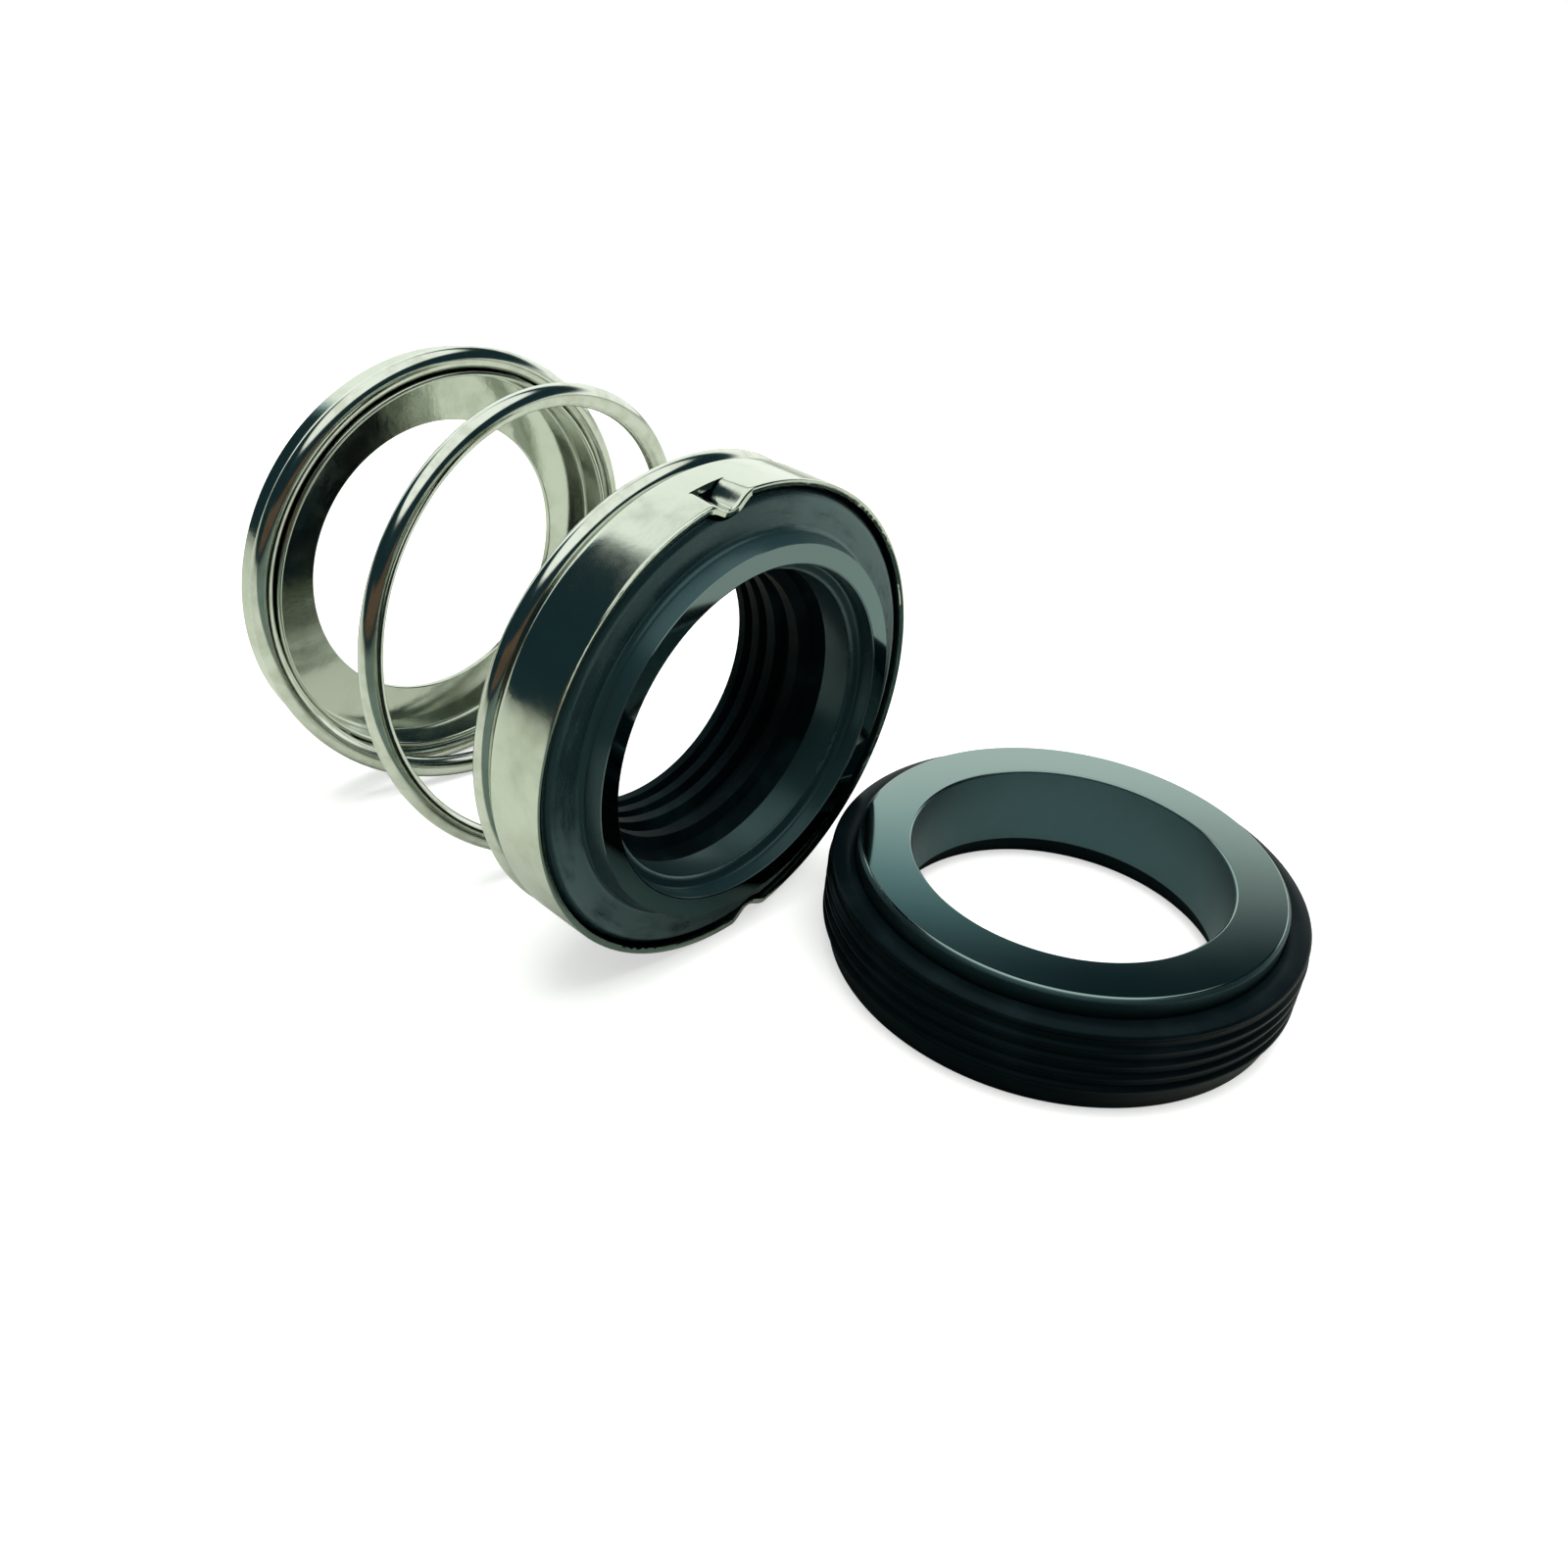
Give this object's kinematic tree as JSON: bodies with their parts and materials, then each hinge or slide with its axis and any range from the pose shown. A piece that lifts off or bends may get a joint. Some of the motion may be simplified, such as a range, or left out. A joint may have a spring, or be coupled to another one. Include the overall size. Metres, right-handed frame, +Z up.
{
  "type": "component mechanical seal",
  "caption": "Single-spring rubber-bellows mechanical seal: sprung rotary unit lying on its side, with its stationary seat in a ribbed rubber cup.",
  "frame": {"origin": "on the floor, under the middle of the whole set's bounding box", "axes": "+Z up and along the seat's axis, +X along the rotary unit's axis, from the spring holder to the lapped nose"},
  "size_m": [0.118, 0.0882, 0.0586],
  "materials": {
    "pressed_steel": "bright pressed stainless steel",
    "spring_wire": "bright drawn stainless wire",
    "carbon": "machined carbon graphite, lapped on the nose",
    "seat_face": "lapped silicon carbide",
    "rubber": "moulded black rubber"
  },
  "bodies": {
    "holder_spring_and_seat": {"spring_holder": "pressed_steel", "spring": "spring_wire", "seat_ring": "seat_face", "seat_cup": "rubber"},
    "sealing_head": {"drive_shell": "pressed_steel", "primary_ring": "carbon", "bellows": "rubber", "drive_band": "pressed_steel"}
  },
  "joints": [
    {"name": "spring_stroke", "type": "slide", "parent": "holder_spring_and_seat", "child": "sealing_head", "axis": [-1, 0, 0], "range_m": [0, 0.02], "stiffness_N_per_m": 1700, "deforming": ["spring"]}
  ]
}
